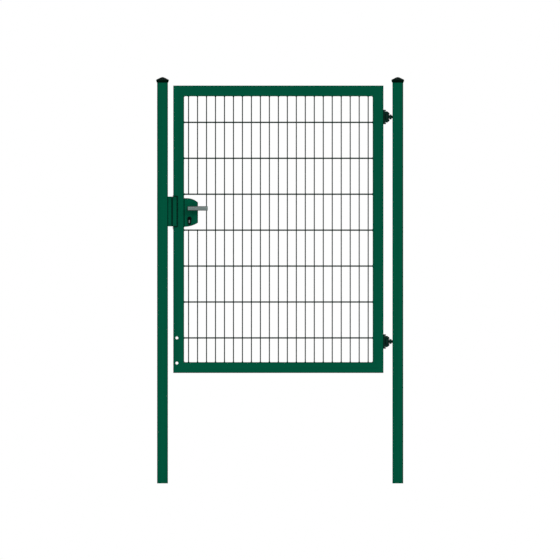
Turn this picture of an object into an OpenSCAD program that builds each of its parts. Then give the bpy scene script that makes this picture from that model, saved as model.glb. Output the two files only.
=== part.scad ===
// Single-leaf garden gate of welded square tube, filled with double-rod mesh, hung between two posts.
// Frame of the model: origin at the centre of the hinge post's foot, +Z up, +X from the latch post
// towards the hinge post, and -Y the side with the stop plate. The leaf opens towards +Y.

/* [Gateway] */
// Clear width between the two posts
clear_opening = 1250; // [1000:10:1500]
// Gap between the latch post and the leaf
latch_gap = 30; // [28:1:36]
// Gap between the leaf and the hinge post, bridged by the hinges
hinge_gap = 50; // [48:1:60]

/* [Posts] */
// Outside width of the square posts
post_width = 60; // [50:1:80]
// Wall of the posts
post_wall = 2; // [2:0.5:4]
// How far the posts stand above the leaf
post_head = 30; // [20:1:60]
// Outside corner radius of the post tube
post_round = 5; // [4:0.5:6]

/* [Post caps] */
// How far the cap's rim overhangs the post on each side
cap_overhang = 5.3; // [4:0.1:8]
// How far the cap's skirt reaches down the post
cap_skirt = 13; // [8:1:20]
// Height of the cap above the post's end
cap_rise = 17; // [14:1:28]

/* [Leaf frame] */
// Height of the leaf over its frame
leaf_height = 1600; // [1400:10:1920]
// Height of the leaf's lower edge above the foot of the posts
leaf_lift = 615; // [500:5:700]
// Width of the frame tube as seen from the front
frame_face = 60; // [50:1:70]
// Depth of the frame tube from front to back
frame_depth = 40; // [36:1:48]
// Wall of the frame tube
frame_wall = 2; // [2:0.5:3]
// Outside corner radius of the frame tube
frame_round = 4; // [3:0.5:5]
// Radius of the two through holes for a drop bolt
bolt_hole_radius = 8; // [5:0.5:9]
// Height of the lower drop-bolt hole above the leaf's lower edge
bolt_hole_rise = 55; // [45:1:80]
// Distance between the two drop-bolt holes
bolt_hole_pitch = 140; // [80:5:160]
// Distance of the drop-bolt holes from the leaf's edge
bolt_hole_inset = 20; // [16:1:30]

/* [Mesh] */
// Distance between upright wires
upright_pitch = 50; // [40:1:60]
// Distance between pairs of cross wires
cross_pitch = 200; // [200:5:240]
// Height of the lowest pair of cross wires above the bottom rail
cross_start = 135; // [100:5:160]
// Diameter of the upright wires
upright_diameter = 6; // [5:0.5:8]
// Diameter of the cross wires
cross_diameter = 8; // [6:0.5:9]

/* [Lock] */
// Depth of the welded lock case from front to back
case_depth = 40; // [36:1:48]
// Width of the lock case, measured from the stile
case_width = 77.4; // [72:0.2:84]
// Sheet of the lock case
case_sheet = 3; // [2:0.5:4]
// Distance of the handle's spindle from the stile
spindle_inset = 30; // [28:1:32]
// Height of the spindle above the middle of the lock
spindle_rise = 21; // [18:1:24]
// Depth of the key cylinder's middle below the middle of the lock
cylinder_drop = 36; // [34:1:38]
// How far the latch bolt stands out of the leaf when it is shut
latch_throw = 19; // [17:0.5:20]
// How far the pressed handle draws the latch bolt in
latch_travel = 16; // [14:0.5:16]

/* [Handle] */
// Length of the lever from the spindle to its tip
lever_length = 102; // [80:1:120]
// Height of the lever's grip
lever_height = 25; // [18:1:26]
// Thickness of the lever's grip
lever_thickness = 12; // [8:1:14]
// Distance of the grip's middle from the middle of the leaf
lever_offset = 50; // [46:1:60]

/* [Keep] */
// Height of the keep and its stop plate
keep_height = 166; // [150:1:200]
// How far the keep reaches from the latch post
keep_reach = 21; // [18:0.5:22]
// How far the stop plate overlaps the leaf
stop_overlap = 19; // [15:1:25]
// Sheet of the keep and the stop plate
keep_sheet = 3; // [2:0.5:3]

/* [Hinges] */
// Distance of each hinge from the leaf's upper or lower edge
hinge_inset = 175; // [140:5:250]
// Distance of the hinge pins from the leaf's edge
pin_reach = 19; // [19:0.5:22]
// Radius of the hinge pins
pin_radius = 6; // [5:0.5:7]
// Radius of the eye bolt's threaded stud
stud_radius = 8; // [6:0.5:8]
// Height of the hinge bracket between the tips of its base plate
hinge_plate_height = 81; // [76:1:100]

/* [Hidden] */
$fn = 64;

// Clearances: sliding pieces, turning pieces, and the margin by which a cutter passes a surface.
slide_gap = 0.3;
turn_gap = 0.05;
overcut = 1;

// Posts and leaf along X.
post_edge = -post_width / 2;
latch_post_x = -(clear_opening + post_width);
latch_post_edge = latch_post_x + post_width / 2;
leaf_left = latch_post_edge + latch_gap;
leaf_right = post_edge - hinge_gap;
leaf_width = leaf_right - leaf_left;
inner_left = leaf_left + frame_face;
inner_width = leaf_width - 2 * frame_face;

// Leaf along Z.
leaf_top = leaf_lift + leaf_height;
post_length = leaf_top + post_head;
inner_bottom = leaf_lift + frame_face;
inner_height = leaf_height - 2 * frame_face;

// Mesh. The cross wires of a pair lie on either side of the upright wires and bite into them a little.
wire_sides = 8;
weld_bite = 0.4;
upright_radius = upright_diameter / 2;
cross_radius = cross_diameter / 2;
cross_offset = (upright_radius + cross_radius) * cos(180 / wire_sides) - weld_bite;
upright_count = floor(inner_width / upright_pitch);
upright_margin = (inner_width - (upright_count - 1) * upright_pitch) / 2;
cross_headroom = 40;
cross_count = floor((inner_height - cross_start - cross_headroom) / cross_pitch) + 1;
function upright_x(i) = inner_left + upright_margin + i * upright_pitch;
function cross_z(j) = inner_bottom + cross_start + j * cross_pitch;

// The lock fills the mesh field above this pair of cross wires, and the uprights end there.
lock_field = 3;
cut_uprights = floor((case_width + cross_radius - upright_margin) / upright_pitch) + 1;
lock_z = (cross_z(lock_field) + cross_z(lock_field + 1)) / 2;
spindle_x = inner_left + spindle_inset;
spindle_z = lock_z + spindle_rise;
cylinder_z = lock_z - cylinder_drop;

// Outline of the lock case: heights measured from the middle of the lock, lengths from the stile.
case_top = 78;
case_bottom = -81.5;
case_flat = 16;
case_upper_corner = 54.5;
case_lower_corner = -59;
arc_steps = 10;

// Lock body inside the case, and its bolts.
body_thickness = 16;
body_reach = 46;
body_top = 67;
body_bottom = -65;
bolt_thickness = 10;
bolt_height = 24;
bolt_length = 64;
dead_bolt_drop = 25;
dead_bolt_length = 50;
nose_flat = 2;
nose_slope = 12;
forend_sheet = 3;
forend_width = 22;
forend_height = 190;

// Key cylinder of the usual pear-shaped section.
cylinder_radius = 8.5;
cylinder_web = 5;
cylinder_leg = 19.5;
cylinder_reach = 8;
plug_radius = 6.5;
plug_proud = 1;
key_slot_width = 2;
key_slot_height = 8;
key_slot_depth = 6;
surround_radius = 11.5;
surround_foot_radius = 7.5;
surround_leg = 27;
surround_sheet = 6;

// Handle.
spindle_side = 8;
spindle_hole_radius = 6.5;
socket_depth = 24;
neck_radius = 8;
hub_radius = 10.5;
hub_gap = 0.5;
rose_radius = 13;
rose_sheet = 4;
lever_back = 10;
lever_round = 5;

// Keep: a channel on the post's side, and a stop plate that steps forward to clear the leaf.
keep_depth = 44;
keep_rise = 4;
stop_step = 5;
stop_fold_start = 18;
stop_fold_end = 29;
stop_end = latch_gap + stop_overlap;
window_margin = 5;
buffer_sheet = 2;
buffer_width = 20;
buffer_proud = 5;
buffer_extra = 3;

// Hinges. The eye turns on the pin between the two ears of the clevis.
pin_x = leaf_right + pin_reach;
upper_hinge_z = leaf_top - hinge_inset;
lower_hinge_z = leaf_lift + hinge_inset;
plate_thickness = 6;
plate_depth = 34;
ear_radius = 13.3;
ear_half_height = 30;
ear_round = 15;
eye_radius = 12.5;
eye_half_height = 15;
slot_half_height = 16;
pin_half_length = 29;
nut_flats = 24;
nut_thickness = 13;
nut_start = 13.5;
stud_depth = 18;

// Colours.
green = [0.016, 0.31, 0.22];
wire_green = [0.09, 0.13, 0.12];
black = [0.03, 0.05, 0.04];
satin = [0.45, 0.5, 0.49];
zinc = [0.6, 0.62, 0.63];

// A rectangle with round corners, centred on the origin.
module round_rectangle(width, depth, radius) {
    square([width - 2 * radius, depth], center = true);
    square([width, depth - 2 * radius], center = true);
    for (sx = [-1, 1], sy = [-1, 1]) {
        translate([sx * (width / 2 - radius), sy * (depth / 2 - radius)]) circle(radius);
    }
}

// A rectangular tube that stands on the XY plane.
module box_tube(width, depth, wall, radius, length) {
    linear_extrude(length) difference() {
        round_rectangle(width, depth, radius);
        round_rectangle(width - 2 * wall, depth - 2 * wall, radius - wall);
    }
}

// One side of the leaf's frame, upright, its outer face on x = 0 and both ends mitred.
module frame_side(length) {
    intersection() {
        translate([frame_face / 2, 0, 0]) {
            box_tube(frame_face, frame_depth, frame_wall, frame_round, length);
        }
        rotate([90, 0, 0]) linear_extrude(frame_depth + 2 * overcut, center = true) {
            polygon([
                [-overcut, -overcut],
                [frame_face + overcut, frame_face + overcut],
                [frame_face + overcut, length - frame_face - overcut],
                [-overcut, length + overcut]
            ]);
        }
    }
}

// A round bar or bore along Y, centred on y = 0.
module along_y(radius, length) {
    rotate([90, 0, 0]) cylinder(h = length, r = radius, center = true);
}

module post(x) {
    translate([x, 0, 0]) box_tube(post_width, post_width, post_wall, post_round, post_length);
}

module hinge_post() {
    color(green) difference() {
        post(0);
        for (z = [upper_hinge_z, lower_hinge_z]) {
            translate([post_edge - overcut, 0, z]) rotate([0, 90, 0]) {
                cylinder(h = post_wall + 2 * overcut, r = stud_radius + turn_gap);
            }
        }
    }
}

module latch_post() {
    color(green) post(latch_post_x);
}

// A cap that sits over the post's end: skirt, overhanging rim, low pyramid and a small dome on top.
module post_cap(x) {
    rim_height = 7;
    brim = 2.5;
    skirt_sheet = 3;
    crown_width = 24;
    dome_radius = 11.5;
    dome_height = 3;
    dome_sphere = (dome_radius ^ 2 + dome_height ^ 2) / (2 * dome_height);
    skirt_width = post_width + 2 * skirt_sheet;
    rim_width = post_width + 2 * cap_overhang;
    translate([x, 0, post_length]) difference() {
        union() {
            translate([0, 0, -cap_skirt]) linear_extrude(cap_skirt) {
                round_rectangle(skirt_width, skirt_width, post_round + skirt_sheet);
            }
            translate([0, 0, -rim_height]) linear_extrude(rim_height) {
                round_rectangle(rim_width, rim_width, post_round);
            }
            hull() {
                linear_extrude(brim) {
                    round_rectangle(rim_width, rim_width, post_round, $fn = 24);
                }
                translate([0, 0, cap_rise - dome_height - overcut]) linear_extrude(overcut) {
                    square(crown_width, center = true);
                }
            }
            translate([0, 0, cap_rise - dome_sphere]) intersection() {
                sphere(dome_sphere);
                translate([0, 0, dome_sphere - dome_height - overcut]) {
                    cylinder(h = dome_height + 2 * overcut, r = dome_radius);
                }
            }
        }
        translate([0, 0, -2 * cap_skirt]) linear_extrude(2 * cap_skirt) {
            round_rectangle(post_width + slide_gap, post_width + slide_gap, post_round);
        }
        hull() {
            translate([0, 0, -overcut]) linear_extrude(overcut) {
                square(post_width - 2 * post_wall, center = true);
            }
            translate([0, 0, cap_rise - dome_height - skirt_sheet]) linear_extrude(overcut) {
                square(crown_width, center = true);
            }
        }
    }
}

module hinge_post_cap() {
    color(black) post_cap(0);
}

module latch_post_cap() {
    color(black) post_cap(latch_post_x);
}

// The window that a bolt of the lock passes through, cut along X.
module bolt_window(z, margin, start, end) {
    translate([start, -bolt_thickness / 2 - margin, z - bolt_height / 2 - margin]) {
        cube([end - start, bolt_thickness + 2 * margin, bolt_height + 2 * margin]);
    }
}

latch_z = spindle_z;
dead_bolt_z = lock_z - dead_bolt_drop;
keep_bottom = lock_z + keep_rise - keep_height / 2;
keep_face = latch_post_edge + keep_reach;

module keep_channel() {
    color(green) difference() {
        translate([latch_post_edge, -keep_depth / 2, keep_bottom]) {
            cube([keep_reach, keep_depth, keep_height]);
        }
        translate([latch_post_edge - overcut, keep_sheet - keep_depth / 2, keep_bottom - overcut]) {
            cube([
                keep_reach - keep_sheet + overcut,
                keep_depth - 2 * keep_sheet,
                keep_height + 2 * overcut
            ]);
        }
        for (z = [latch_z, dead_bolt_z]) {
            bolt_window(z, window_margin, keep_face - keep_sheet - overcut, keep_face + overcut);
        }
    }
}

module stop_plate() {
    back = -keep_depth / 2;
    near = [
        [0, back], [stop_fold_start, back],
        [stop_fold_end, back - stop_step], [stop_end, back - stop_step]
    ];
    far = [for (i = [3:-1:0]) near[i] - [0, keep_sheet]];
    color(green) translate([latch_post_edge, 0, keep_bottom]) {
        linear_extrude(keep_height) polygon(concat(near, far));
    }
}

module stop_buffer() {
    color(black) translate([
        latch_post_edge + stop_end + buffer_proud - buffer_width,
        -keep_depth / 2 - stop_step,
        keep_bottom - buffer_extra
    ]) {
        cube([buffer_width, buffer_sheet, keep_height + 2 * buffer_extra]);
    }
}

// Eye bolt of a hinge: an eye round the pin and a stud that runs through the post's wall.
module eye_bolt(z) {
    translate([pin_x, 0, z]) difference() {
        union() {
            cylinder(h = 2 * eye_half_height, r = eye_radius, center = true);
            rotate([0, 90, 0]) cylinder(h = post_edge + stud_depth - pin_x, r = stud_radius);
        }
        cylinder(h = 2 * eye_half_height + 2 * overcut, r = pin_radius + turn_gap, center = true);
    }
}

module upper_eye_bolt() {
    color(black) eye_bolt(upper_hinge_z);
}

module lower_eye_bolt() {
    color(black) eye_bolt(lower_hinge_z);
}

// Hexagon nut on the stud, two of its flats facing front and back.
module hinge_nut(z) {
    translate([pin_x + nut_start, 0, z]) rotate([0, 90, 0]) difference() {
        cylinder(h = nut_thickness, r = nut_flats / 2 / cos(30), $fn = 6);
        translate([0, 0, -overcut]) {
            cylinder(h = nut_thickness + 2 * overcut, r = stud_radius + turn_gap);
        }
    }
}

module upper_hinge_nut() {
    color(black) hinge_nut(upper_hinge_z);
}

module lower_hinge_nut() {
    color(black) hinge_nut(lower_hinge_z);
}

module top_rail() {
    color(green) translate([leaf_left, 0, leaf_top]) rotate([0, 90, 0]) frame_side(leaf_width);
}

module bottom_rail() {
    color(green) translate([leaf_right, 0, leaf_lift]) rotate([0, -90, 0]) frame_side(leaf_width);
}

module hinge_stile() {
    color(green) translate([leaf_right, 0, leaf_lift]) mirror([1, 0, 0]) frame_side(leaf_height);
}

// The stile on the latch side is slotted for the lock and drilled for a drop bolt.
module lock_stile() {
    color(green) difference() {
        translate([leaf_left, 0, leaf_lift]) frame_side(leaf_height);
        translate([
            leaf_left - overcut,
            -body_thickness / 2 - slide_gap,
            lock_z + body_bottom - slide_gap
        ]) {
            cube([
                frame_face + 2 * overcut,
                body_thickness + 2 * slide_gap,
                body_top - body_bottom + 2 * slide_gap
            ]);
        }
        for (k = [0, 1]) {
            translate([
                leaf_left + bolt_hole_inset,
                0,
                leaf_lift + bolt_hole_rise + k * bolt_hole_pitch
            ]) {
                along_y(bolt_hole_radius, frame_depth + 2 * overcut);
            }
        }
    }
}

// An upright wire from one height to another, a flat side of its section facing the cross wires.
module upright_wire(x, bottom, top) {
    translate([x, 0, bottom]) rotate([0, 0, 180 / wire_sides]) {
        cylinder(h = top - bottom, r = upright_radius, $fn = wire_sides);
    }
}

// The two cross wires of a pair.
module cross_pair(z) {
    for (side = [-1, 1]) {
        translate([inner_left, side * cross_offset, z]) rotate([0, 90, 0]) {
            rotate([0, 0, 180 / wire_sides]) {
                cylinder(h = inner_width, r = cross_radius, $fn = wire_sides);
            }
        }
    }
}

module mesh_panel() {
    inner_top = inner_bottom + inner_height;
    color(wire_green) {
        for (i = [0:upright_count - 1]) {
            if (i < cut_uprights) {
                upright_wire(upright_x(i), inner_bottom, cross_z(lock_field) + cross_radius);
                upright_wire(upright_x(i), cross_z(lock_field + 1) - cross_radius, inner_top);
            } else {
                upright_wire(upright_x(i), inner_bottom, inner_top);
            }
        }
        for (j = [0:cross_count - 1]) cross_pair(cross_z(j));
    }
}

// Points of an arc whose tangent is level at its first point: x runs from one value to another.
// The centre lies level with the first point's x, and sign says whether the arc bulges up or down.
function level_arc(x0, z0, x1, z1, inset, sign) =
    let (rise = abs(z1 - z0), run = x1 - x0)
    let (radius = (run ^ 2 + rise ^ 2) / (2 * rise))
    let (reach = run - inset)
    [for (k = [0:arc_steps])
        let (x = reach * k / arc_steps)
        [x0 + x, z0 - sign * radius + sign * sqrt((radius - inset) ^ 2 - x ^ 2)]];

// Outline of the lock case, drawn in by inset on every side but the stile's.
function case_outline(inset, start) = concat(
    [[start, case_bottom + inset]],
    level_arc(0, case_bottom, case_width, case_lower_corner, inset, -1),
    [for (k = [arc_steps:-1:0])
        level_arc(case_flat, case_top, case_width, case_upper_corner, inset, 1)[k]],
    [[start, case_top - inset]]
);

module case_block(inset, start, depth) {
    translate([inner_left, 0, lock_z]) rotate([90, 0, 0]) {
        linear_extrude(depth, center = true) polygon(case_outline(inset, start));
    }
}

// Section of the key cylinder: a round head over a narrow leg, grown by margin all round.
module cylinder_section(margin) {
    circle(cylinder_radius + margin);
    translate([0, -cylinder_leg]) circle(cylinder_web + margin);
    translate([-cylinder_web - margin, -cylinder_leg]) {
        square([2 * (cylinder_web + margin), cylinder_leg]);
    }
}

module cylinder_bar(margin, length) {
    translate([spindle_x, 0, cylinder_z]) rotate([90, 0, 0]) {
        linear_extrude(length, center = true) cylinder_section(margin);
    }
}

module lock_case() {
    color(green) difference() {
        case_block(0, 0, case_depth);
        case_block(case_sheet, -overcut, case_depth - 2 * case_sheet);
        translate([spindle_x, 0, spindle_z]) {
            along_y(neck_radius + slide_gap, case_depth + 2 * overcut);
        }
        cylinder_bar(slide_gap, case_depth + 2 * overcut);
    }
}

// The lock's own body, in the stile and the case, with ways for its bolts, spindle and cylinder.
module lock_body() {
    bolt_way_end = leaf_left + bolt_length - latch_throw + latch_travel + slide_gap;
    color(zinc) difference() {
        translate([leaf_left, -body_thickness / 2, lock_z + body_bottom]) {
            cube([frame_face + body_reach, body_thickness, body_top - body_bottom]);
        }
        bolt_window(latch_z, slide_gap, leaf_left - overcut, bolt_way_end);
        bolt_window(dead_bolt_z, slide_gap, leaf_left - overcut, leaf_left + dead_bolt_length);
        translate([spindle_x, 0, spindle_z]) {
            along_y(spindle_hole_radius, body_thickness + 2 * overcut);
        }
        cylinder_bar(slide_gap, body_thickness + 2 * overcut);
    }
}

module lock_forend() {
    start = leaf_left - forend_sheet;
    color(zinc) difference() {
        translate([start, -forend_width / 2, lock_z - forend_height / 2]) {
            cube([forend_sheet, forend_width, forend_height]);
        }
        for (z = [latch_z, dead_bolt_z]) {
            bolt_window(z, slide_gap, start - overcut, leaf_left + overcut);
        }
    }
}

module dead_bolt() {
    color(zinc) bolt_window(dead_bolt_z, 0, leaf_left - forend_sheet, leaf_left + dead_bolt_length);
}

module lock_cylinder() {
    color(satin) difference() {
        cylinder_bar(0, case_depth + 2 * cylinder_reach);
        translate([spindle_x, 0, cylinder_z]) {
            along_y(plug_radius + turn_gap, case_depth + 2 * cylinder_reach + 2 * overcut);
        }
    }
}

// The turning core on one side of the cylinder, with its key slot. side is -1 in front.
module key_plug(side) {
    face = case_depth / 2 + cylinder_reach + plug_proud;
    translate([spindle_x, 0, cylinder_z]) difference() {
        translate([0, side * (face + overcut) / 2, 0]) along_y(plug_radius, face - overcut);
        translate([0, side * face, 0]) {
            cube([key_slot_width, 2 * key_slot_depth, key_slot_height], center = true);
        }
    }
}

module front_key_plug() {
    color(black) key_plug(-1);
}

module back_key_plug() {
    color(black) key_plug(1);
}

// Drop-shaped surround of the cylinder on one face of the lock case.
module cylinder_surround(side) {
    middle = side * (case_depth + surround_sheet) / 2;
    difference() {
        translate([spindle_x, middle, cylinder_z]) rotate([90, 0, 0]) {
            linear_extrude(surround_sheet, center = true) hull() {
                circle(surround_radius);
                translate([0, -surround_leg]) circle(surround_foot_radius);
            }
        }
        cylinder_bar(slide_gap, case_depth + 2 * surround_sheet + 2 * overcut);
    }
}

module front_cylinder_surround() {
    color(black) cylinder_surround(-1);
}

module back_cylinder_surround() {
    color(black) cylinder_surround(1);
}

// Bush that guides the neck of a lever.
module handle_rose(side) {
    translate([spindle_x, side * (case_depth + rose_sheet) / 2, spindle_z]) difference() {
        along_y(rose_radius, rose_sheet);
        along_y(neck_radius + turn_gap, rose_sheet + 2 * overcut);
    }
}

module front_handle_rose() {
    color(black) handle_rose(-1);
}

module back_handle_rose() {
    color(black) handle_rose(1);
}

// Clevis of a hinge: a base plate on the stile, and two ears with the pin's bore and the eye's slot.
module hinge_clevis(z) {
    ear_reach = pin_reach + ear_radius;
    translate([leaf_right, 0, z]) difference() {
        union() {
            translate([0, -plate_depth / 2, -hinge_plate_height / 2]) {
                cube([plate_thickness, plate_depth, hinge_plate_height]);
            }
            intersection() {
                translate([0, 0, -ear_half_height]) linear_extrude(2 * ear_half_height) {
                    translate([0, -ear_radius]) square([pin_reach, 2 * ear_radius]);
                    translate([pin_reach, 0]) circle(ear_radius);
                }
                rotate([90, 0, 0]) linear_extrude(2 * ear_radius + 2 * overcut, center = true) {
                    round_rectangle(2 * ear_reach, 2 * ear_half_height, ear_round);
                }
            }
        }
        translate([plate_thickness, -ear_radius - overcut, -slot_half_height]) {
            cube([ear_reach, 2 * ear_radius + 2 * overcut, 2 * slot_half_height]);
        }
        translate([pin_reach, 0, 0]) {
            cylinder(h = 3 * ear_half_height, r = pin_radius + turn_gap, center = true);
        }
    }
}

module upper_hinge_clevis() {
    color(black) hinge_clevis(upper_hinge_z);
}

module lower_hinge_clevis() {
    color(black) hinge_clevis(lower_hinge_z);
}

module hinge_pin(z) {
    translate([pin_x, 0, z]) cylinder(h = 2 * pin_half_length, r = pin_radius, center = true);
}

module upper_hinge_pin() {
    color(zinc) hinge_pin(upper_hinge_z);
}

module lower_hinge_pin() {
    color(zinc) hinge_pin(lower_hinge_z);
}

module handle_spindle() {
    color(zinc) translate([spindle_x, 0, spindle_z]) {
        cube([spindle_side, 2 * lever_offset - lever_thickness, spindle_side], center = true);
    }
}

// Lever on one side: a neck in the rose, a hub and a straight grip that points away from the stile.
module lever(side) {
    case_face = case_depth / 2;
    neck_length = lever_offset - case_face;
    hub_start = case_face + rose_sheet + hub_gap;
    translate([spindle_x, 0, spindle_z]) difference() {
        union() {
            translate([0, side * (case_face + lever_offset) / 2, 0]) {
                along_y(neck_radius, neck_length);
            }
            translate([0, side * (hub_start + lever_offset) / 2, 0]) {
                along_y(hub_radius, lever_offset - hub_start);
            }
            translate([-lever_back, side * lever_offset, 0]) rotate([90, 0, 90]) {
                linear_extrude(lever_back + lever_length) {
                    round_rectangle(lever_thickness, lever_height, lever_round);
                }
            }
        }
        translate([0, side * (case_face + socket_depth / 2), 0]) {
            cube([
                spindle_side + slide_gap,
                socket_depth + 2 * slide_gap,
                spindle_side + slide_gap
            ], center = true);
        }
    }
}

module front_lever() {
    color(satin) lever(-1);
}

module back_lever() {
    color(satin) lever(1);
}

// Latch bolt with its bevelled nose, which is pushed in by the keep when the leaf falls shut.
module latch_bolt() {
    tip = leaf_left - latch_throw;
    half = bolt_thickness / 2;
    color(zinc) translate([0, 0, latch_z - bolt_height / 2]) linear_extrude(bolt_height) {
        polygon([
            [tip + bolt_length, -half],
            [tip + bolt_length, half],
            [tip, half],
            [tip, half - nose_flat],
            [tip + nose_slope, -half]
        ]);
    }
}

hinge_post();
latch_post();
hinge_post_cap();
latch_post_cap();
keep_channel();
stop_plate();
stop_buffer();
upper_eye_bolt();
lower_eye_bolt();
upper_hinge_nut();
lower_hinge_nut();
top_rail();
bottom_rail();
lock_stile();
hinge_stile();
mesh_panel();
lock_case();
lock_body();
lock_forend();
dead_bolt();
lock_cylinder();
front_key_plug();
back_key_plug();
front_cylinder_surround();
back_cylinder_surround();
front_handle_rose();
back_handle_rose();
upper_hinge_clevis();
lower_hinge_clevis();
upper_hinge_pin();
lower_hinge_pin();
handle_spindle();
front_lever();
back_lever();
latch_bolt();
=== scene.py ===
import math

import bmesh
import bpy
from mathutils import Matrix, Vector


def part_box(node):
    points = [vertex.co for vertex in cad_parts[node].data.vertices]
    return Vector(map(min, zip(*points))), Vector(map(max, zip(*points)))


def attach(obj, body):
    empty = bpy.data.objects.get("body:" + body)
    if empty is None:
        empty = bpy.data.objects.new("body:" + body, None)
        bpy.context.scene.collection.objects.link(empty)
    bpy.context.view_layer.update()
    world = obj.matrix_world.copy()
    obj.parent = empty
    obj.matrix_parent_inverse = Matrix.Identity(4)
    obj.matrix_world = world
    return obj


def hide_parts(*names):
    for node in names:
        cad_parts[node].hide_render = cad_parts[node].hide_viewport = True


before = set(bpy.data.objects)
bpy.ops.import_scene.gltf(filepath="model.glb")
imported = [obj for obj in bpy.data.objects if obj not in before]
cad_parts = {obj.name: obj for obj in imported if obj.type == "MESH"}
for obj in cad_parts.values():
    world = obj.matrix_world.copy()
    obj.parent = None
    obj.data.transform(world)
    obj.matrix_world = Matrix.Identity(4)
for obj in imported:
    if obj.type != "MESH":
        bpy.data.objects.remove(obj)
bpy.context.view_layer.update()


# ------------------------------------------------------------------------------ the two posts
# Posts of 60 mm square steel tube, galvanised and then powder-coated moss green all over.
# Each stands in a footing of its own, which holds the stretch that reaches below the leaf.

MM = 0.001


def new_material(name):
    """A fresh material, its node tree and its main shader."""
    material = bpy.data.materials.new(name)
    material.use_nodes = True
    return material, material.node_tree, material.node_tree.nodes["Principled BSDF"]


def add(tree, kind, inputs, **settings):
    """Adds a shader node and returns its output. A socket among the inputs is linked in."""
    made = tree.nodes.new("ShaderNode" + kind)
    for key, value in settings.items():
        setattr(made, key, value)
    for key, value in inputs.items():
        if isinstance(value, bpy.types.NodeSocket):
            tree.links.new(value, made.inputs[key])
        else:
            made.inputs[key].default_value = value
    return next(o for o in made.outputs if o.enabled)


def of_piece(tree, kind):
    """Of the shaded point: its place on its own piece ("Object") or where it faces ("Normal")."""
    return tree.nodes.new("ShaderNodeTexCoord").outputs[kind]


def split(tree, vector):
    """The x, y and z of a vector."""
    parts = tree.nodes.new("ShaderNodeSeparateXYZ")
    tree.links.new(vector, parts.inputs[0])
    return parts.outputs


def noise(tree, where, scale, detail):
    """Cloudy noise, with about so many clouds in a metre."""
    return add(tree, "TexNoise", {"Vector": where, "Scale": scale, "Detail": detail})


def streaks(tree, where, bands, detail):
    """Noise drawn out into streaks: bands is how often it changes in a metre along x, y and z."""
    stretched = add(tree, "Mapping", {"Vector": where, "Scale": bands})
    return noise(tree, stretched, 1.0, detail)


def times(tree, value, factor):
    """One value times another."""
    return add(tree, "Math", {0: value, 1: factor}, operation="MULTIPLY")


def scaled(tree, value, low, high, to_low, to_high):
    """A value brought from one range into another, and held there."""
    limits = {"From Min": low, "From Max": high, "To Min": to_low, "To Max": to_high}
    return add(tree, "MapRange", {"Value": value, **limits})


def spread(tree, cloud, low, high):
    """Noise, which keeps mostly between 0.3 and 0.7, brought into a range."""
    return scaled(tree, cloud, 0.3, 0.7, low, high)


def tinted(tree, shader, colour, tone):
    """Gives the shader a colour, made darker or lighter by a tone."""
    tint = add(tree, "VectorMath", {0: colour, "Scale": tone}, operation="SCALE")
    tree.links.new(tint, shader.inputs["Base Color"])


def dulled(tree, shader, cloud, roughness, change):
    """Gives the shader a roughness that noise changes a little either way."""
    worn = spread(tree, cloud, roughness - change, roughness + change)
    tree.links.new(worn, shader.inputs["Roughness"])


def soft_edges(tree, radius):
    """Where the surface faces once its sharp edges are rounded to a radius."""
    return add(tree, "Bevel", {"Radius": radius}, samples=6)


def grained(tree, shader, grain, strength, depth, surface=None):
    """Lets a grain of some depth stand up from the surface, or from its softened edges."""
    bump = {"Height": grain, "Strength": strength, "Distance": depth}
    if surface:
        bump["Normal"] = surface
    tree.links.new(add(tree, "Bump", bump), shader.inputs["Normal"])


def corner_shade(tree, corner):
    """Painted shade: 1 on flat faces, falling to 1 - corner where a front or back face rounds off to a
    side.
    """
    turned = add(tree, "VectorMath", {0: of_piece(tree, "Normal")}, operation="ABSOLUTE")
    x, y, z = split(tree, turned)
    aside = add(tree, "Math", {0: x, 1: z}, operation="MAXIMUM")
    shade_starts, shade_full = 0.13, 0.4
    return scaled(tree, times(tree, aside, y), shade_starts, shade_full, 1.0, 1.0 - corner)


def powder_coat(name, colour, bands, corner=0.0, shaded_edge_width=0.0, roughness=0.46):
    """Powder coat on steel, with faint bands of tone, painted shade at its corners and a fine orange
    peel.

    bands is how often the tone changes in a metre along x, y and z. corner is how much darker the
    painted shade makes the coat at corners: at rounded ones, or within the given edge width of sharp
    ones.
    """
    material, tree, shader = new_material(name)
    where = of_piece(tree, "Object")
    tone_change, wear, peel_depth = 0.08, 0.06, 0.06 * MM
    tone = spread(tree, streaks(tree, where, bands, 3.0), 1 - tone_change, 1 + tone_change)

    # Painted shade at the corners: a dark line round sharp edges, or darkening where a face rounds off.
    surface = None
    if shaded_edge_width:
        surface = soft_edges(tree, shaded_edge_width)
        plain = tree.nodes.new("ShaderNodeNewGeometry").outputs["True Normal"]
        level = add(tree, "VectorMath", {0: surface, 1: plain}, operation="DOT_PRODUCT")
        line_full, line_ends = 0.82, 0.985
        tone = times(tree, tone, scaled(tree, level, line_full, line_ends, 1.0 - corner, 1.0))
    elif corner:
        tone = times(tree, tone, corner_shade(tree, corner))

    tinted(tree, shader, colour, tone)
    dulled(tree, shader, noise(tree, where, 30.0, 2.0), roughness, wear)
    grained(tree, shader, noise(tree, where, 520.0, 1.0), 0.35, peel_depth, surface)
    shader.inputs["Specular IOR Level"].default_value = 0.1
    shader.inputs["Specular Tint"].default_value = (0.1, 1.0, 0.7, 1)
    return material


def coat_nodes(material, *names):
    """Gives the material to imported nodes."""
    for name in names:
        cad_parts[name].material_slots[0].material = material


moss = (0.0004, 0.0725, 0.0365)
upright_coat = powder_coat("moss coat on uprights", moss, bands=(60, 60, 0.7), corner=0.8)
coat_nodes(upright_coat, "hinge_post", "latch_post")


# ------------------------------------------------------------------------------ the post caps
# A cap of black moulded plastic is knocked over the end of each post: a skirt round the tube,
# an overhanging rim, a low pyramid and a small dome. It keeps rain out of the tube.

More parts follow.
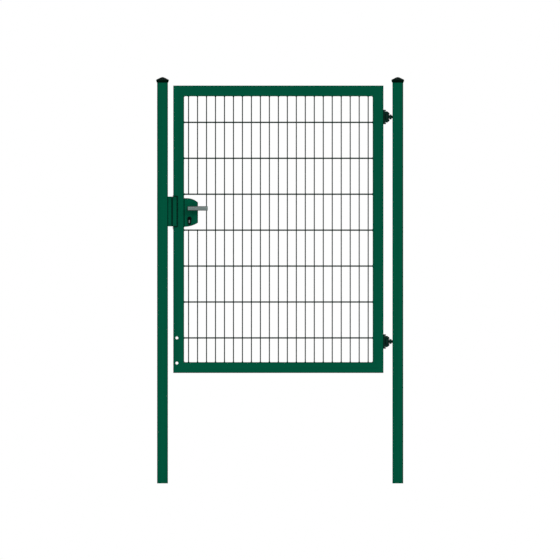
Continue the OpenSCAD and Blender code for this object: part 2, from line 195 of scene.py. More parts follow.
def moulded(name, colour, edge_round, roughness=0.5, grain=900.0, shine=0.05):
    """Moulded plastic or rubber: an even colour with a faint cloud, and a fine eroded grain."""
    material, tree, shader = new_material(name)
    where = of_piece(tree, "Object")
    cloud = noise(tree, where, 45.0, 3.0)
    darkest, lightest, wear, grain_depth = 0.8, 1.25, 0.08, 0.05 * MM
    tinted(tree, shader, colour, spread(tree, cloud, darkest, lightest))
    dulled(tree, shader, cloud, roughness, wear)
    eroded = noise(tree, where, grain, 2.0)
    grained(tree, shader, eroded, 0.4, grain_depth, soft_edges(tree, edge_round))
    shader.inputs["Specular IOR Level"].default_value = shine
    return material


cap_black = (0.0004, 0.0052, 0.0031)
cap_plastic = moulded("black cap plastic", cap_black, 1.2 * MM, roughness=0.65, shine=0.012)
coat_nodes(cap_plastic, "hinge_post_cap", "latch_post_cap")


# ------------------------------------------------------------------------------ the keep
# A channel folded from steel sheet, with windows for the latch and the dead bolt cut into it.
# It is welded to the side of the latch post in three short runs a side, and coated with it.

X = Vector((1, 0, 0))
Y = Vector((0, 1, 0))
Z = Vector((0, 0, 1))


def finished(name, bm, material, body, stands_for=()):
    """Makes an object of a mesh, smooth but for its creases, and hangs it on a body."""
    same_point, crease = 0.001 * MM, math.radians(32)
    bmesh.ops.remove_doubles(bm, verts=bm.verts, dist=same_point)
    bmesh.ops.recalc_face_normals(bm, faces=bm.faces)
    mesh = bpy.data.meshes.new(name)
    bm.to_mesh(mesh)
    bm.free()
    mesh.materials.append(material)
    mesh.shade_smooth()
    mesh.set_sharp_from_angle(angle=crease)
    made = bpy.data.objects.new(name, mesh)
    bpy.context.scene.collection.objects.link(made)
    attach(made, body)
    if stands_for:
        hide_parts(*stands_for)


def skin(bm, rings, loop=False):
    """Covers a row of rings, each with as many points, with four-sided faces.

    The first and last ring are closed with a face, or joined to each other in a loop.
    """
    made = [[bm.verts.new(point) for point in ring] for ring in rings]
    if loop:
        made.append(made[0])
    for near, far in zip(made, made[1:]):
        for k in range(len(near)):
            j = (k + 1) % len(near)
            bm.faces.new((near[k], near[j], far[j], far[k]))
    if not loop:
        bm.faces.new(made[0])
        bm.faces.new(made[-1])


def across(direction):
    """Two directions at right angles to a direction and to each other."""
    first = Z if abs(direction.z) < 0.9 else X
    side = direction.cross(first).normalized()
    return side, direction.cross(side)


def round_ring(centre, direction, radius, count):
    """Points on a circle round a direction."""
    u, v = across(direction)
    turns = [2 * math.pi * k / count for k in range(count)]
    return [centre + radius * (math.cos(t) * u + math.sin(t) * v) for t in turns]


def bead(bm, start, end, radius):
    """A run of weld from start to end: overlapping ripples that taper off at both ends."""
    ripple, rings_each, sides = 3.2 * MM, 4, 8
    run = end - start
    steps = rings_each * max(2, round(run.length / ripple))
    rings = []
    for k in range(steps + 1):
        swell = 0.8 + 0.2 * abs(math.sin(math.pi * k / rings_each))
        taper = min(1.0, 0.3 + 0.25 * min(k, steps - k))
        centre = start + run * k / steps
        rings.append(round_ring(centre, run.normalized(), radius * swell * taper, sides))
    skin(bm, rings)


plate_bands = (60, 60, 4)
plate_coat = powder_coat("moss coat on plates", moss, plate_bands, corner=0.75, shaded_edge_width=1.6 * MM)
# The beads' green is darker than the moss: painted shade on the rough beads and the joints they fill.
weld_shaded_green = (0.0002, 0.031, 0.0165)
weld_coat = powder_coat("moss coat on weld beads", weld_shaded_green, bands=(90, 90, 90), roughness=0.52)
coat_nodes(plate_coat, "keep_channel")

channel_low, channel_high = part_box("keep_channel")
run_length = 30 * MM
weld = bmesh.new()
for y in (channel_low.y + 1.5 * MM, channel_high.y + 0.6 * MM):
    for rise in (6 * MM, 68 * MM, 130 * MM):
        foot = Vector((channel_low.x + 0.4 * MM, y, channel_low.z + rise))
        bead(weld, foot, foot + run_length * Z, 2.2 * MM)
finished("keep_welds", weld, weld_coat, "posts")


# ------------------------------------------------------------------------------ the stop plate
# A strip of 3 mm steel, folded twice on a press brake so that it steps forward in front of the
# leaf's edge. It is welded to the keep and to the post along its edge.

def rounded_corners(corners):
    """A flat outline of (x, y, radius) corners, each turned into an arc of short steps."""
    steps = 5
    points = []
    for k, (x, y, radius) in enumerate(corners):
        here = Vector((x, y))
        back = (Vector(corners[k - 1][:2]) - here).normalized()
        on = (Vector(corners[(k + 1) % len(corners)][:2]) - here).normalized()
        half = math.acos(max(-1.0, min(1.0, back.dot(on)))) / 2
        start, end = (here + way * radius / math.tan(half) for way in (back, on))
        for step in range(steps + 1):
            t = step / steps
            points.append((1 - t) ** 2 * start + 2 * t * (1 - t) * here + t * t * end)
    return points


# The strip seen from above, in mm: each corner's place and the radius that it is bent to.
strip = (
    (0, 8, 0.3), (18, 8, 6), (29, 3, 3), (49, 3, 1),
    (49, 0, 1), (29, 0, 6), (18, 5, 3), (0, 5, 0.3),
)
outline = rounded_corners([(x * MM, y * MM, radius * MM) for x, y, radius in strip])
plate_low, plate_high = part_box("stop_plate")
# Its cut ends are rounded off: how far from the end, and how far the outline is drawn in.
rounding = [(0, 0.8 * MM), (0.3 * MM, 0.25 * MM), (0.9 * MM, 0)]
levels = [(plate_low.z + rise, inset) for rise, inset in rounding]
levels += [(plate_high.z - rise, inset) for rise, inset in reversed(rounding)]
rings = []
for z, inset in levels:
    ring = []
    for k, point in enumerate(outline):
        run = (outline[(k + 1) % len(outline)] - outline[k - 1]).normalized()
        moved = point - inset * Vector((run.y, -run.x))
        ring.append(Vector((plate_low.x + moved.x, plate_low.y + moved.y, z)))
    rings.append(ring)
folded = bmesh.new()
skin(folded, rings)
folded_coat = powder_coat("moss coat on folds", moss, plate_bands, corner=0.95)
finished("stop_plate_folded", folded, folded_coat, "posts", ["stop_plate"])

end_gap = 3 * MM
weld = bmesh.new()
foot = Vector((plate_low.x + 0.2 * MM, plate_low.y + 4.8 * MM, plate_low.z + end_gap))
bead(weld, foot, foot + (plate_high.z - plate_low.z - 2 * end_gap) * Z, 1.7 * MM)
finished("stop_plate_weld", weld, weld_coat, "posts")


# ------------------------------------------------------------------------------ the stop buffer
# A strip of black rubber behind the stop plate softens the blow of the closing leaf.
# It is cut from extruded profile and stuck to the plate.

rubber_black = (0.0012, 0.0018, 0.0016)
buffer_rubber = moulded("buffer rubber", rubber_black, 0.6 * MM, 0.75, grain=1600.0, shine=0.015)
coat_nodes(buffer_rubber, "stop_buffer")


# ------------------------------------------------------------------------------ the leaf's frame
# Four lengths of 60 by 40 mm tube are mitred, welded at the corners, ground flush and coated
# as one frame. A fillet of weld is left in each inner corner. Two holes take a drop bolt.

level_coat = powder_coat("moss coat on rails", moss, bands=(0.7, 60, 60), corner=0.8)
coat_nodes(level_coat, "top_rail", "bottom_rail")
coat_nodes(upright_coat, "lock_stile", "hinge_stile")

inner_low, inner_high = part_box("mesh_panel")
run_length = 32 * MM
off_corner = 0.8 * MM
weld = bmesh.new()
for x in (inner_low.x + off_corner, inner_high.x - off_corner):
    for z in (inner_low.z + off_corner, inner_high.z - off_corner):
        corner = Vector((x, -run_length / 2, z))
        bead(weld, corner, corner + run_length * Y, 3 * MM)
finished("frame_corner_welds", weld, weld_coat, "leaf")


# ------------------------------------------------------------------------------ the wire mat
# Drawn steel wire: 6 mm uprights every 50 mm, gripped between pairs of 8 mm cross wires every
# 200 mm and spot-welded where they cross. The wire ends are welded to the inside of the frame.

wire_green, cross_green = (0.0044, 0.0098, 0.0078), (0.0045, 0.0125, 0.0095)
wire_coat = powder_coat("dark green coat on wire", wire_green, bands=(40, 40, 40), roughness=0.5)
cross_coat = powder_coat("dark green coat on cross wires", cross_green, bands=(3, 40, 40), roughness=0.5)
upright_radius = 3 * MM
cross_radius = 4 * MM
cross_y = inner_high.y - cross_radius * math.cos(math.pi / 8)
upright_places = [inner_low.x + (25 + 50 * k) * MM for k in range(21)]
cross_heights = [inner_low.z + (135 + 200 * k) * MM for k in range(7)]
# The first uprights are cut away between two cross wires, to make room for the lock.
cut_uprights = 2
field_low = cross_heights[3] + cross_radius
field_high = cross_heights[4] - cross_radius


def wire(bm, start, end, radius, welded_start=True, welded_end=True):
    """A round wire: collars of weld where it meets the frame, and cut ends rounded by the coat."""
    sides = 12
    # Each station is a distance from the end in mm, and a share of the radius.
    square, cut = ((0, 1),), ((0, 0.2), (0.12, 0.55), (0.45, 0.87), (1.0, 1))
    run = (end - start).normalized()
    head = [(start + a * MM * run, share) for a, share in (square if welded_start else cut)]
    tail = [(end - a * MM * run, share) for a, share in (square if welded_end else cut)]
    skin(bm, [round_ring(p, run, radius * share, sides) for p, share in head + tail[::-1]])
    # Each station is a distance from the end in mm, and how far the weld stands out from the wire.
    collar = ((0.0, 2.2), (1.2, 1.9), (2.6, 0.9), (4.0, 0.1))
    for welded, foot, away in ((welded_start, start, run), (welded_end, end, -run)):
        if welded:
            skin(bm, [round_ring(foot + a * MM * away, run, radius + b * MM, sides) for a, b in collar])


uprights = bmesh.new()
for k, x in enumerate(upright_places):
    low, high = Vector((x, 0, inner_low.z)), Vector((x, 0, inner_high.z))
    if k < cut_uprights:
        wire(uprights, low, Vector((x, 0, field_low)), upright_radius, welded_end=False)
        wire(uprights, Vector((x, 0, field_high)), high, upright_radius, welded_start=False)
    else:
        wire(uprights, low, high, upright_radius)
finished("mat_uprights", uprights, wire_coat, "leaf", ["mesh_panel"])

cross_wires = bmesh.new()
for z in cross_heights:
    for y in (-cross_y, cross_y):
        wire(cross_wires, Vector((inner_low.x, y, z)), Vector((inner_high.x, y, z)), cross_radius)
finished("mat_cross_wires", cross_wires, cross_coat, "leaf")

# The metal squeezed out where an upright sinks into a cross wire: height and half width in mm.
nugget = ((-4.6, 1.0), (-3.2, 3.1), (0, 4.1), (3.2, 3.1), (4.6, 1.0))
flattened = 0.45
nuggets = bmesh.new()
for z in cross_heights:
    for x in upright_places:
        for y in (-3.1 * MM, 3.1 * MM):
            rings = []
            for rise, half_width in nugget:
                ring = round_ring(Vector((x, y, z + rise * MM)), Z, half_width * MM, 8)
                rings.append([Vector((p.x, y + flattened * (p.y - y), p.z)) for p in ring])
            skin(nuggets, rings)
finished("mat_spot_welds", nuggets, wire_coat, "leaf")


# ------------------------------------------------------------------------------ the lock case
# A box of 3 mm sheet, pressed round the lock's outline, is welded between stile and mat field.
# Its faces are flush with the frame; the welds at its top and bottom stay visible.

case_coat = powder_coat("moss coat on the lock case", moss, plate_bands, corner=0.95)
case_low, case_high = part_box("lock_case")
# In mm, from the stile and from the lock's middle: how far the case reaches out, where its level
# top starts to fall, its top and bottom, and the ends of its straight far side.
case_reach, top_falls, case_top, case_bottom = 77.4, 16, 78, -81.5
far_top, far_bottom = 54.5, -59
case_middle = case_low.z - case_bottom * MM
half_depth = 20


def pressed_arc(start, end, inset, bulge):
    """An arc that sets out level from start and comes down on end, drawn in by inset."""
    steps = 14
    run, rise = end[0] - start[0], abs(end[1] - start[1])
    radius = (run ** 2 + rise ** 2) / (2 * rise)
    places = [(run - inset) * k / steps for k in range(steps + 1)]
    height = start[1] - bulge * radius
    return [(start[0] + x, height + bulge * math.sqrt((radius - inset) ** 2 - x ** 2)) for x in places]


def case_outline(inset):
    """The case's outline in mm, drawn in by inset.

    It starts 1.5 mm from the stile, because the drawn-in latch bolt ends 1 mm behind that wall.
    """
    nearest = 1.5
    lower = pressed_arc((0, case_bottom), (case_reach, far_bottom), inset, -1)
    upper = pressed_arc((top_falls, case_top), (case_reach, far_top), inset, 1)
    outline = lower + upper[::-1] + [(0, case_top - inset)]
    return [(max(x, inset, nearest), z) for x, z in outline]


# The pressing's edges are folded over a 4 mm radius: inset and depth of each ring, in mm.
fold, margin = 4.0, 1.2
bends = [math.radians(15 * k) for k in range(7)]
layers = [(fold + margin, -half_depth)]
layers += [(fold * (1 - math.sin(a)), -half_depth + fold * (1 - math.cos(a))) for a in bends]
layers += [(inset, -depth) for inset, depth in reversed(layers)]
rings = []
for inset, depth in layers:
    edge = case_outline(inset)
    rings.append([Vector((case_low.x + x * MM, depth * MM, case_middle + z * MM)) for x, z in edge])
pressing = bmesh.new()
skin(pressing, rings)
finished("lock_case_pressing", pressing, case_coat, "leaf", ["lock_case"])

weld_x = case_low.x + 0.6 * MM
end_gap, run_length = 2 * MM, 34 * MM
weld = bmesh.new()
for z in (case_high.z + 0.3 * MM, case_low.z - 0.3 * MM):
    start = Vector((weld_x, -run_length / 2, z))
    bead(weld, start, start + run_length * Y, 2.4 * MM)
for y in (-15.6 * MM, 15.6 * MM):
    start = Vector((weld_x, y, case_low.z + end_gap))
    bead(weld, start, start + (case_high.z - case_low.z - 2 * end_gap) * Z, 1.6 * MM)
finished("lock_case_welds", weld, weld_coat, "leaf")


# ------------------------------------------------------------------------------ the lock
# A zinc-plated mortice lock: its body slides into the stile, and its forend is held to the
# stile's edge by two countersunk screws. Latch and dead bolt are ground steel, shaded here as zinc.

def worked_metal(name, colour, roughness, strokes, edge_round=0.5 * MM, corner=0.0):
    """Bare or plated metal with the fine strokes of brushing or grinding; corner paints shade on its
    rounded corners.
    """
    material, tree, shader = new_material(name)
    where = of_piece(tree, "Object")
    mottle, wear, stroke_depth = 0.12, 0.07, 0.03 * MM
    lines = streaks(tree, where, strokes, 2.0)
    both = add(tree, "Math", {0: lines, 1: noise(tree, where, 110.0, 4.0)}, operation="ADD")
    tone = scaled(tree, both, 0.7, 1.3, 1.0 - mottle, 1.0 + mottle)
    tinted(tree, shader, colour, times(tree, tone, corner_shade(tree, corner)))
    dulled(tree, shader, lines, roughness, wear)
    grained(tree, shader, lines, 0.25, stroke_depth, soft_edges(tree, edge_round))
    shader.inputs["Metallic"].default_value = 1.0
    return material


def turned(bm, foot, direction, profile, count=24, loop=False):
    """A turned shape. profile gives pairs of height along the direction and radius."""
    skin(bm, [round_ring(foot + h * direction, direction, r, count) for h, r in profile], loop=loop)


zinc = worked_metal("zinc plate", (0.36, 0.38, 0.39), roughness=0.38, strokes=(60, 60, 1400))
coat_nodes(zinc, "lock_body", "lock_forend", "dead_bolt", "latch_bolt")

forend_low, forend_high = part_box("lock_forend")
screw_inset = 11 * MM
# A screw's countersunk head as height and radius, and an arm of its cross recess, in mm.
head = ((-1.5, 2), (0, 4.4), (0.25, 4.1), (0.45, 3))
arm = ((-2.4, -0.55), (2.4, -0.55), (2.4, 0.55), (-2.4, 0.55))
recess_rise = 0.5 * MM
heads = bmesh.new()
recesses = bmesh.new()
for z in (forend_low.z + screw_inset, forend_high.z - screw_inset):
    seat = Vector((forend_low.x, 0, z))
    turned(heads, seat, -X, [(h * MM, r * MM) for h, r in head])
    for u, v in ((Y, Z), (Z, Y)):
        flat = [seat + a * MM * u + b * MM * v for a, b in arm]
        skin(recesses, [flat, [point - recess_rise * X for point in flat]])
finished("forend_screws", heads, zinc, "leaf")
recess_black = moulded("shade in the screw recess", (0.004, 0.004, 0.004), 0.2 * MM)
finished("forend_screw_recesses", recesses, recess_black, "leaf")


# ------------------------------------------------------------------------------ the key cylinder
# A pear-shaped cylinder of dull nickel-plated brass runs right through the case, with a turning
# plug and key slot on each side. A drop-shaped plastic surround sits round it on each face.

def painted_shade_off_leg(material, low, high):
    """Paints shade: plating bright only mid-leg, nearly black round the plug and at the leg's sides and
    foot.
    """
    tree = material.node_tree
    shader = tree.nodes["Principled BSDF"]
    x, _, z = split(tree, of_piece(tree, "Object"))
    middle, plug_radius, blackest = low.x + 7.7 * MM, 8.5 * MM, 0.04
    plug_z = high.z - plug_radius
    aside = add(tree, "Math", {0: x, 1: middle}, operation="SUBTRACT")
    aside = add(tree, "Math", {0: aside}, operation="ABSOLUTE")
    on_leg = scaled(tree, aside, 2.6 * MM, 3.6 * MM, 1.0, 0.0)
    below = scaled(tree, z, plug_z - plug_radius, plug_z - 7 * MM, 1.0, 0.0)
    above = scaled(tree, z, low.z + 0.6 * MM, low.z + 2 * MM, 0.0, 1.0)
    bright = times(tree, times(tree, on_leg, below), above)
    plated = shader.inputs["Base Color"].links[0].from_socket
    tinted(tree, shader, plated, scaled(tree, bright, 0, 1, blackest, 1.0))


nickel_grey, plug_grey = (0.135, 0.165, 0.16), (0.003, 0.0038, 0.0036)
nickel = worked_metal("dull nickel", nickel_grey, 0.42, strokes=(900, 60, 60), edge_round=0.4 * MM)
cylinder_low, cylinder_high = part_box("lock_cylinder")
# Painted shade on the cylinder's face round the plug.
painted_shade_off_leg(nickel, cylinder_low, cylinder_high)
# The plugs' near-black grey is painted shade, as round the plug on the cylinder's face.
plug_metal = worked_metal("dark plug metal", plug_grey, 0.45, strokes=(60, 60, 900), edge_round=0.3 * MM)
trim_black = moulded("black trim plastic", (0.0012, 0.002, 0.0017), 1.2 * MM, shine=0.02)
coat_nodes(nickel, "lock_cylinder")
coat_nodes(plug_metal, "front_key_plug", "back_key_plug")
coat_nodes(trim_black, "front_cylinder_surround", "back_cylinder_surround")


# ------------------------------------------------------------------------------ the levers
# Two straight levers of satin cast aluminium on one square steel spindle. Each neck turns in a
# black plastic rose on the case, and the grip points away from the latch post.

coat_nodes(trim_black, "front_handle_rose", "back_handle_rose")
coat_nodes(zinc, "handle_spindle")
satin_grey = (0.15, 0.186, 0.178)
# Painted shade darkens the levers' rounded edges.
satin = worked_metal("satin aluminium", satin_grey, 0.42, (25, 700, 700), 1.2 * MM, corner=0.75)
spindle_low, spindle_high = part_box("handle_spindle")
spindle = (spindle_low + spindle_high) / 2


def round_box(x, width, height, radius, centre):
    """A ring in the plane of y and z: a rectangle with round corners."""
    steps = 5
    points = []
    for quarter in range(4):
        for k in range(steps + 1):
            turn = math.pi / 2 * (quarter + k / steps)
            side_y = 1 if quarter in (0, 3) else -1
            side_z = 1 if quarter in (0, 1) else -1
            y = side_y * (width / 2 - radius) + radius * math.cos(turn)
            z = side_z * (height / 2 - radius) + radius * math.sin(turn)
            points.append(Vector((x, centre.y + y, centre.z + z)))
    return points


grip_thickness, grip_corner, grip_starts = 12 * MM, 4 * MM, 0.5 * MM
# The grip's ends are rounded: how far from the end, and how far the outline is drawn in, in mm.
rounding = ((0, 1.6), (0.25, 0.9), (0.8, 0.3), (1.8, 0))
# The neck as height above the case's face and radius, in mm.
neck_profile = ((0, 8), (4.4, 8), (4.6, 9.6), (5.2, 10.3), (6, 10.5), (25, 10.5), (28, 10.5))
for name, side in (("front_lever", -1), ("back_lever", 1)):
    low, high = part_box(name)
    face_y = low.y if side < 0 else high.y
    tall = high.z - low.z
    grip = Vector((0, face_y - side * grip_thickness / 2, spindle.z))
    stations = [(low.x + grip_starts + a * MM, b * MM) for a, b in rounding]
    stations += [(high.x - a * MM, b * MM) for a, b in reversed(rounding)]
    rings = []
    for x, draw in stations:
        rings.append(round_box(x, grip_thickness - 2 * draw, tall - 2 * draw, grip_corner - draw, grip))
    lever = bmesh.new()
    skin(lever, rings)
    neck = Vector((spindle.x, side * half_depth * MM, spindle.z))
    turned(lever, neck, side * Y, [(h * MM, r * MM) for h, r in neck_profile], 40)
    finished(name + "_casting", lever, satin, "handle", [name])


# ------------------------------------------------------------------------------ the hinges
# An eye bolt runs through the hinge post and is set with a hexagon nut. Its eye sits between the
# ears of a cast clevis, with a thin plastic washer above and below, and turns on a steel pin.
# The clevis is held to the leaf by two studs with lock nuts.

hinge_black, pin_black = (0.004, 0.0135, 0.0105), (0.012, 0.016, 0.015)
hinge_coat = powder_coat("black-green coat on castings", hinge_black, (90, 90, 90), 0.75, 1.2 * MM)
pin_steel = worked_metal("blackened pin steel", pin_black, 0.5, (700, 700, 60), edge_round=0.8 * MM)
coat_nodes(pin_steel, "upper_hinge_pin", "lower_hinge_pin")


def threaded(bm, foot, direction, length, radius, pitch, count=24):
    """A threaded bar: each ring's points rise and fall with the turn of the thread."""
    rings_a_turn = 5
    u, v = across(direction)
    depth = 0.3 * pitch
    steps = round(rings_a_turn * length / pitch)
    rings = []
    for k in range(steps + 1):
        height = length * k / steps
        ring = []
        for j in range(count):
            turn = 2 * math.pi * j / count
            phase = (height / pitch - j / count) % 1.0
            r = radius - 2 * depth * abs(phase - 0.5)
            ring.append(foot + height * direction + r * (math.cos(turn) * u + math.sin(turn) * v))
        rings.append(ring)
    skin(bm, rings)


def hexagon_nut(bm, foot, direction, flats, bore, height, turn=0.0):
    """A hexagon nut with chamfered corners and a plain bore."""
    count, sixth = 48, math.pi / 3
    u, v = across(direction)

    def nut_ring(rise, largest):
        ring = []
        for j in range(count):
            angle = 2 * math.pi * j / count
            off = (angle + turn) % sixth - sixth / 2
            r = min(flats / 2 / math.cos(off), largest)
            ring.append(foot + rise * direction + r * (math.cos(angle) * u + math.sin(angle) * v))
        return ring

    chamfer = 0.11 * flats
    corner_radius = flats / 2 / math.cos(sixth / 2)
    rounding = [(0, 0.49 * flats), (0.55 * chamfer, 0.535 * flats), (chamfer, corner_radius)]
    rings = [nut_ring(rise, largest) for rise, largest in rounding]
    rings += [nut_ring(height - rise, largest) for rise, largest in reversed(rounding)]
    rings += [nut_ring(height, bore), nut_ring(0, bore)]
    skin(bm, rings, loop=True)


# The clevis's base plate, in mm.
plate_thickness, plate_half_depth, plate_half_height, plate_corner = 6, 17, 40.5, 3


def clevis_plate(foot):
    """The base plate, flat on the stile and rounded off at its corners and round its face."""
    def plate_ring(rise, inset):
        radius = plate_corner - inset
        ring = []
        for side_y, side_z, start in ((1, 1, 0), (-1, 1, 90), (-1, -1, 180), (1, -1, 270)):
            for turn in range(start, start + 91, 15):
                y = side_y * (plate_half_depth - plate_corner) + radius * math.cos(math.radians(turn))
                z = side_z * (plate_half_height - plate_corner) + radius * math.sin(math.radians(turn))
                ring.append(foot + MM * Vector((rise, y, z)))
        return ring

    # Each ring's height and inset.
    rings = ((0, 0), (4.8, 0), (5.4, 0.16), (5.84, 0.6), (plate_thickness, 1.2), (plate_thickness, 1.8))
    plate = bmesh.new()
    skin(plate, [plate_ring(rise, inset) for rise, inset in rings])
    return plate


def clevis_ear(foot, side):
    """One ear of the clevis: a fillet at its root, a sloped top, a bore and a seat for the washer.

    All in mm. reach is how far the pin is from the stile, girth the ear's radius round the pin,
    fillet the radius at its root, and rooted where it starts inside the base plate. bore and seat
    are radii, and face and seat_floor are heights from the pin's middle.
    """
    reach, girth, fillet, rooted = 19, 15, 1.2, 3
    bore, seat, face, seat_floor = 6.05, 12.7, 15.85, 16
    chamfer, flat_inset = 0.4, 2.2
    sideways, none = (0, 1), (0, 0)
    outline = []
    for turn in range(0, 91, 6):
        lean = (math.cos(math.radians(turn)), math.sin(math.radians(turn)))
        outline.append((reach + girth * lean[0], girth * lean[1], lean))
    outline += [(x, girth, sideways) for x in (15, 11, 8.5)]
    for turn in (0, 30, 60, 90):
        lean = math.radians(turn)
        x = plate_thickness + fillet - fillet * math.sin(lean)
        outline.append((x, girth + fillet - fillet * math.cos(lean), sideways))
    outline += [(rooted, y, none) for y in (girth + fillet, 10, 5, 0)]
    outline += [(x, -y, (i, -j)) for x, y, (i, j) in outline[-2:0:-1]]

    def top(x):
        slope_starts, highest, flare, steepness, softness = 22.5, 31.5, 0.6, 0.45, 2
        fall = x - slope_starts
        near_root = max(0.0, min(1.0, (plate_thickness + fillet - x) / fillet)) ** 2
        return highest + flare * near_root - steepness * (fall + math.hypot(fall, softness))

    def ear_ring(inset, height):
        ring = []
        for x, y, (i, j) in outline:
            x, y = x - inset * i, y - inset * j
            ring.append((x, y, height(x)))
        return ring

    def bore_ring(radius, height, share=0.0):
        ring = []
        for x, y, _ in ear_ring(flat_inset, top):
            away = radius / math.hypot(x - reach, y)
            near = (reach + (x - reach) * away, y * away)
            x, y = near[0] + share * (x - near[0]), near[1] + share * (y - near[1])
            ring.append((x, y, height(x)))
        return ring

    rings = [bore_ring(radius, lambda x: seat_floor) for radius in (bore, seat - 0.15)]
    rings.append(bore_ring(seat, lambda x: face))
    for inset, rise in ((1.6, 0), (0.8, 0), (0.23, 0.23), (0, 0.8)):
        rings.append(ear_ring(inset, lambda x: face + rise))
    for inset, drop in ((0, 1.5), (0.2, 0.75), (0.75, 0.2), (1.5, 0), (flat_inset, 0)):
        rings.append(ear_ring(inset, lambda x: top(x) - drop))
    rings += [bore_ring(bore + chamfer, top, 0.5), bore_ring(bore + chamfer, top)]
    rings.append(bore_ring(bore, lambda x: top(x) - chamfer))
    ear = bmesh.new()
    skin(ear, [[foot + MM * Vector((x, y, side * z)) for x, y, z in ring] for ring in rings], loop=True)
    return ear


def united(solids):
    """One closed mesh of several that run into each other."""
    made = []
    for bm in solids:
        bmesh.ops.recalc_face_normals(bm, faces=bm.faces)
        mesh = bpy.data.meshes.new("casting")
        bm.to_mesh(mesh)
        bm.free()
        made.append(bpy.data.objects.new("casting", mesh))
        bpy.context.scene.collection.objects.link(made[-1])
    for other in made[1:]:
        join = made[0].modifiers.new("join", "BOOLEAN")
        join.operation, join.solver, join.object = "UNION", "EXACT", other
    whole = made[0].evaluated_get(bpy.context.evaluated_depsgraph_get())
    result = bmesh.new()
    result.from_mesh(whole.to_mesh())
    for part in made:
        bpy.data.meshes.remove(part.data)
    return result


for place in ("upper", "lower"):
    hinge = place + "_hinge"
    low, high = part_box(hinge + "_pin")
    pin = (low + high) / 2

    bolt_low, bolt_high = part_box(place + "_eye_bolt")
    half = (bolt_high.z - bolt_low.z) / 2
    outer, bore, soft = bolt_high.y, 6.05 * MM, 1.1 * MM
    rounding = [(-half, outer - soft), (-half + 0.3 * soft, outer - 0.3 * soft), (-half + soft, outer)]
    profile = [(-half, bore)] + rounding + [(-h, r) for h, r in reversed(rounding)] + [(half, bore)]
    eye = bmesh.new()
    turned(eye, pin, Z, profile, 40, loop=True)
    shank = pin + 9 * MM * X
    threaded(eye, shank, X, bolt_high.x - shank.x, radius=8 * MM, pitch=2 * MM)
    finished(place + "_eye_bolt_forging", eye, hinge_coat, "posts", [place + "_eye_bolt"])

    nut_low, nut_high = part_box(hinge + "_nut")
    nut_foot, nut_height = Vector((nut_low.x, 0, pin.z)), nut_high.x - nut_low.x
    nut = bmesh.new()
    hexagon_nut(nut, nut_foot, X, flats=24 * MM, bore=8.05 * MM, height=nut_height, turn=math.pi / 6)
    finished(hinge + "_hexagon_nut", nut, hinge_coat, "posts", [hinge + "_nut"])

    stile_side = Vector((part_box(hinge + "_clevis")[0].x, 0, pin.z))
    casting = united([clevis_plate(stile_side), clevis_ear(stile_side, 1), clevis_ear(stile_side, -1)])
    finished(hinge + "_casting", casting, hinge_coat, "leaf", [hinge + "_clevis"])

    plate_face = stile_side + plate_thickness * MM * X
    stud_rise = 36.3 * MM
    fixings = bmesh.new()
    for rise in (-stud_rise, stud_rise):
        foot = plate_face + rise * Z
        hexagon_nut(fixings, foot, X, flats=8 * MM, bore=2.4 * MM, height=6.3 * MM)
        threaded(fixings, foot, X, length=8.4 * MM, radius=2.5 * MM, pitch=0.8 * MM, count=16)
    finished(hinge + "_fixing_nuts", fixings, hinge_coat, "leaf")

    # The foot of the slot is cast hollow, half a millimetre clear of the eye: two arcs round the
    # pin, each from 5 to 42 degrees off the middle.
    hollow = pin.x - plate_face.x
    back, brim, half_height = -hollow - 0.1 * MM, 12.4 * MM, 16.2 * MM
    arc = [math.radians(5 + 4.6 * k) for k in range(9)]
    edge = [(-hollow * math.cos(a), hollow * math.sin(a)) for a in arc]
    edge += [(edge[-1][0], brim), (back, brim), (back, edge[0][1])]
    saddle = bmesh.new()
    for side in (-1, 1):
        ends = (-half_height, half_height)
        skin(saddle, [[pin + Vector((x, side * y, z)) for x, y in edge] for z in ends])
    finished(hinge + "_saddle", saddle, hinge_coat, "leaf")

    # Half of a washer's section, as height from the pin's middle and radius, in mm.
    rim = ((14.98, 6.2), (14.98, 12.2), (15.1, 12.3), (15.87, 12.3), (15.97, 12.2), (15.97, 6.2))
    washers = bmesh.new()
    for side in (-1, 1):
        turned(washers, pin, side * Z, [(h * MM, r * MM) for h, r in rim], 32, loop=True)
    finished(hinge + "_washers", washers, trim_black, "posts")


# ------------------------------------------------------------------------------ the studio
# A pale floor, soft daylight from all round, a main light from the right, a weak one from the
# left and one from behind. What is seen past the object, and in metal, is plain white.

def white_seen_directly(tree):
    """1 for rays that reach the eye straight, by a reflection or through glass, and 0 for light."""
    path = tree.nodes.new("ShaderNodeLightPath")
    seen = [path.outputs[f"Is {kind} Ray"] for kind in ("Camera", "Glossy", "Transmission")]
    first = add(tree, "Math", {0: seen[0], 1: seen[1]}, operation="ADD")
    return add(tree, "Math", {0: first, 1: seen[2]}, operation="ADD", use_clamp=True)


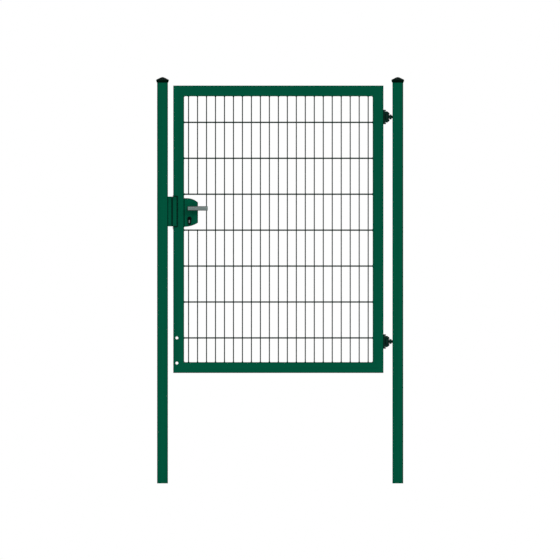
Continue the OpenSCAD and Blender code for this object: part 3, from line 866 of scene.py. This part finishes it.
scene = bpy.context.scene
world = bpy.data.worlds.new("studio")
scene.world = world
world.use_nodes = True
tree = world.node_tree
backdrop = tree.nodes["Background"]
backdrop.inputs["Color"].default_value = (1, 1, 1, 1)
daylight, seen_white = 0.42, 1.0
strength = scaled(tree, white_seen_directly(tree), 0, 1, daylight, seen_white)
tree.links.new(strength, backdrop.inputs["Strength"])


def soft_sun(name, strength, azimuth, elevation, softness):
    """A broad lamp. Azimuth 0 is straight in front and 90 is on the right."""
    lamp = bpy.data.lights.new(name, "SUN")
    lamp.energy = math.pi * strength
    lamp.angle = math.radians(softness)
    made = bpy.data.objects.new(name, lamp)
    scene.collection.objects.link(made)
    a, e = math.radians(azimuth), math.radians(elevation)
    towards = Vector((math.sin(a) * math.cos(e), -math.cos(a) * math.cos(e), math.sin(e)))
    made.rotation_mode = "QUATERNION"
    made.rotation_quaternion = towards.to_track_quat("Z", "Y")


soft_sun("main_light", strength=0.46, azimuth=38, elevation=34, softness=25)
soft_sun("left_light", strength=0.15, azimuth=-35, elevation=20, softness=40)
soft_sun("back_light", strength=0.25, azimuth=160, elevation=40, softness=40)

floor_reach, floor_grey, floor_lift = 30.0, (0.84, 0.84, 0.84, 1), 0.33
corners = [(x * floor_reach, y * floor_reach, 0) for x, y in ((-1, -1), (1, -1), (1, 1), (-1, 1))]
floor_mesh = bpy.data.meshes.new("studio_floor")
floor_mesh.from_pydata(corners, [], [(0, 1, 2, 3)])
floor = bpy.data.objects.new("studio_floor", floor_mesh)
scene.collection.objects.link(floor)
material, tree, shader = new_material("pale floor")
tree.nodes.remove(shader)
matt = add(tree, "BsdfDiffuse", {"Color": floor_grey})
lift = scaled(tree, white_seen_directly(tree), 0, 1, 0.0, floor_lift)
glow = add(tree, "Emission", {"Color": (1, 1, 1, 1), "Strength": lift})
both = add(tree, "AddShader", {0: matt, 1: glow})
tree.links.new(both, tree.nodes["Material Output"].inputs["Surface"])
floor_mesh.materials.append(material)

# A level view straight from the front, from far away.
camera = bpy.data.cameras.new("front_view")
camera.type = "ORTHO"
camera.ortho_scale = 3.1175
camera.clip_end = 100
view = bpy.data.objects.new("front_view", camera)
scene.collection.objects.link(view)
view.location = (-0.6559, -12, 1.1324)
view.rotation_euler = (math.pi / 2, 0, 0)
scene.camera = view
scene.view_settings.view_transform = "Standard"
